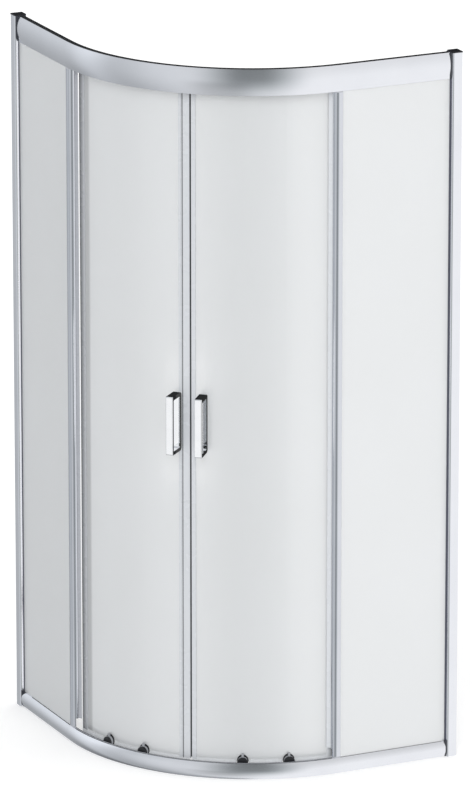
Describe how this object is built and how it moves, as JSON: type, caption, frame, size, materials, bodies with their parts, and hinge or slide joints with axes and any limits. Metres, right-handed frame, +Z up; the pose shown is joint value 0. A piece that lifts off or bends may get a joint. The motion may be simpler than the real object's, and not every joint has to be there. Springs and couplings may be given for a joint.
{
  "type": "quadrant shower enclosure",
  "caption": "Quadrant corner shower enclosure with curved sliding satin-glass doors on release rollers, fixed side panes, bright aluminium rails and wall profiles, and chrome loop handles.",
  "frame": {"origin": "centre of the bounding box on the tray, under the enclosure", "axes": "+Z up; walls at +X (right) and +Y (back left); the rounded front with the doors faces -X and -Y"},
  "size_m": [0.9, 0.9, 1.95],
  "materials": {
    "polished_aluminium": "polished",
    "pane_glass": "satin",
    "door_glass": "satin",
    "black_epdm": "matte",
    "black_abs": "matte",
    "roller_abs": "gloss",
    "grey_abs": "matte",
    "clear_pvc": "translucent",
    "magnet_rubber": "matte",
    "chrome": "mirror",
    "chrome_fixings": "mirror",
    "acetal_wheel": "smooth",
    "grey_acetal": "smooth",
    "spring_steel": "drawn",
    "stainless_screw": "machined"
  },
  "bodies": {
    "frame": {"bottom_connector_left": "grey_abs", "bottom_connector_right": "grey_abs", "bottom_rail": "polished_aluminium", "connector_screws": "stainless_screw", "door_stops": "black_epdm", "fixed_glass_left": "pane_glass", "fixed_glass_right": "pane_glass", "jamb_gasket_left": "black_epdm", "jamb_gasket_right": "black_epdm", "lock_screws": "stainless_screw", "post_left": "polished_aluminium", "post_plugs": "black_abs", "post_right": "polished_aluminium", "post_seal_left": "clear_pvc", "post_seal_right": "clear_pvc", "top_connector_left": "grey_abs", "top_connector_right": "grey_abs", "top_rail": "polished_aluminium", "wall_caps": "black_abs", "wall_channel_left": "polished_aluminium", "wall_channel_right": "polished_aluminium", "wall_jamb_left": "polished_aluminium", "wall_jamb_right": "polished_aluminium"},
    "door_right": {"bottom_wiper_right": "clear_pvc", "door_glass_right": "door_glass", "door_handle_right": "chrome", "edge_seal_right": "clear_pvc", "handle_bolts_right": "chrome_fixings", "magnet_strip_right": "magnet_rubber", "meeting_seal_right": "clear_pvc", "release_spring_lead_right": "spring_steel", "release_spring_trail_right": "spring_steel", "roller_housing_lead_right": "roller_abs", "roller_housing_trail_right": "roller_abs", "top_hangers_right": "chrome_fixings"},
    "door_left": {"bottom_wiper_left": "clear_pvc", "door_glass_left": "door_glass", "door_handle_left": "chrome", "edge_seal_left": "clear_pvc", "handle_bolts_left": "chrome_fixings", "magnet_strip_left": "magnet_rubber", "meeting_seal_left": "clear_pvc", "release_spring_lead_left": "spring_steel", "release_spring_trail_left": "spring_steel", "roller_housing_lead_left": "roller_abs", "roller_housing_trail_left": "roller_abs", "top_hangers_left": "chrome_fixings"},
    "top_wheel_lead_right": {"top_wheel_lead_right": "acetal_wheel"},
    "bottom_wheel_lead_right": {"bottom_wheel_lead_right": "acetal_wheel"},
    "release_slider_lead_right": {"release_slider_lead_right": "grey_acetal"},
    "top_wheel_trail_right": {"top_wheel_trail_right": "acetal_wheel"},
    "bottom_wheel_trail_right": {"bottom_wheel_trail_right": "acetal_wheel"},
    "release_slider_trail_right": {"release_slider_trail_right": "grey_acetal"},
    "top_wheel_lead_left": {"top_wheel_lead_left": "acetal_wheel"},
    "bottom_wheel_lead_left": {"bottom_wheel_lead_left": "acetal_wheel"},
    "release_slider_lead_left": {"release_slider_lead_left": "grey_acetal"},
    "top_wheel_trail_left": {"top_wheel_trail_left": "acetal_wheel"},
    "bottom_wheel_trail_left": {"bottom_wheel_trail_left": "acetal_wheel"},
    "release_slider_trail_left": {"release_slider_trail_left": "grey_acetal"}
  },
  "joints": [
    {"name": "door_right_slide", "type": "hinge", "parent": "frame", "child": "door_right", "pos_m": [0.11723, 0.17149, 0], "axis": [0, 0, 1], "range_deg": [0, 20.9]},
    {"name": "door_left_slide", "type": "hinge", "parent": "frame", "child": "door_left", "pos_m": [0.16071, 0.11632, 0], "axis": [0, 0, -1], "range_deg": [0, 23.7]},
    {"name": "top_wheel_lead_right_roll", "type": "hinge", "parent": "door_right", "child": "top_wheel_lead_right", "pos_m": [-0.02918, -0.4068, 1.908], "axis": [0.247, 0.969, 0], "range_deg": [-10, 1176]},
    {"name": "release_slider_lead_right_press", "type": "slide", "parent": "door_right", "child": "release_slider_lead_right", "axis": [0, 0, -1], "range_m": [0, 0.0052], "stiffness_N_per_m": 800, "springref_m": -0.003, "deforming": ["release_spring_lead_right"]},
    {"name": "bottom_wheel_lead_right_roll", "type": "hinge", "parent": "release_slider_lead_right", "child": "bottom_wheel_lead_right", "pos_m": [-0.0293, -0.40728, 0.0195], "axis": [-0.247, -0.969, 0], "range_deg": [-10, 1570]},
    {"name": "top_wheel_trail_right_roll", "type": "hinge", "parent": "door_right", "child": "top_wheel_trail_right", "pos_m": [-0.14553, -0.36178, 1.908], "axis": [0.4695, 0.8829, 0], "range_deg": [-10, 1171]},
    {"name": "release_slider_trail_right_press", "type": "slide", "parent": "door_right", "child": "release_slider_trail_right", "axis": [0, 0, -1], "range_m": [0, 0.0052], "stiffness_N_per_m": 800, "springref_m": -0.003, "deforming": ["release_spring_trail_right"]},
    {"name": "bottom_wheel_trail_right_roll", "type": "hinge", "parent": "release_slider_trail_right", "child": "bottom_wheel_trail_right", "pos_m": [-0.14577, -0.36222, 0.0195], "axis": [-0.4695, -0.8829, 0], "range_deg": [-10, 1564]},
    {"name": "top_wheel_lead_left_roll", "type": "hinge", "parent": "door_left", "child": "top_wheel_lead_left", "pos_m": [-0.39988, -0.05378, 1.908], "axis": [-0.9558, -0.294, 0], "range_deg": [-10, 1308]},
    {"name": "release_slider_lead_left_press", "type": "slide", "parent": "door_left", "child": "release_slider_lead_left", "axis": [0, 0, -1], "range_m": [0, 0.0052], "stiffness_N_per_m": 800, "springref_m": -0.003, "deforming": ["release_spring_lead_left"]},
    {"name": "bottom_wheel_lead_left_roll", "type": "hinge", "parent": "release_slider_lead_left", "child": "bottom_wheel_lead_left", "pos_m": [-0.40036, -0.05393, 0.0195], "axis": [0.9558, 0.294, 0], "range_deg": [-10, 1747]},
    {"name": "top_wheel_trail_left_roll", "type": "hinge", "parent": "door_left", "child": "top_wheel_trail_left", "pos_m": [-0.34924, -0.1678, 1.908], "axis": [-0.859, -0.512, 0], "range_deg": [-10, 1303]},
    {"name": "release_slider_trail_left_press", "type": "slide", "parent": "door_left", "child": "release_slider_trail_left", "axis": [0, 0, -1], "range_m": [0, 0.0052], "stiffness_N_per_m": 800, "springref_m": -0.003, "deforming": ["release_spring_trail_left"]},
    {"name": "bottom_wheel_trail_left_roll", "type": "hinge", "parent": "release_slider_trail_left", "child": "bottom_wheel_trail_left", "pos_m": [-0.34967, -0.16805, 0.0195], "axis": [0.859, 0.512, 0], "range_deg": [-10, 1741]}
  ],
  "couplings": [
    {"joint": "top_wheel_lead_right_roll", "follows": "door_right_slide", "ratio": 55.75},
    {"joint": "bottom_wheel_lead_right_roll", "follows": "door_right_slide", "ratio": 74.628},
    {"joint": "top_wheel_trail_right_roll", "follows": "door_right_slide", "ratio": 55.534},
    {"joint": "bottom_wheel_trail_right_roll", "follows": "door_right_slide", "ratio": 74.339},
    {"joint": "top_wheel_lead_left_roll", "follows": "door_left_slide", "ratio": 54.75},
    {"joint": "bottom_wheel_lead_left_roll", "follows": "door_left_slide", "ratio": 73.29},
    {"joint": "top_wheel_trail_left_roll", "follows": "door_left_slide", "ratio": 54.533},
    {"joint": "bottom_wheel_trail_left_roll", "follows": "door_left_slide", "ratio": 73}
  ]
}
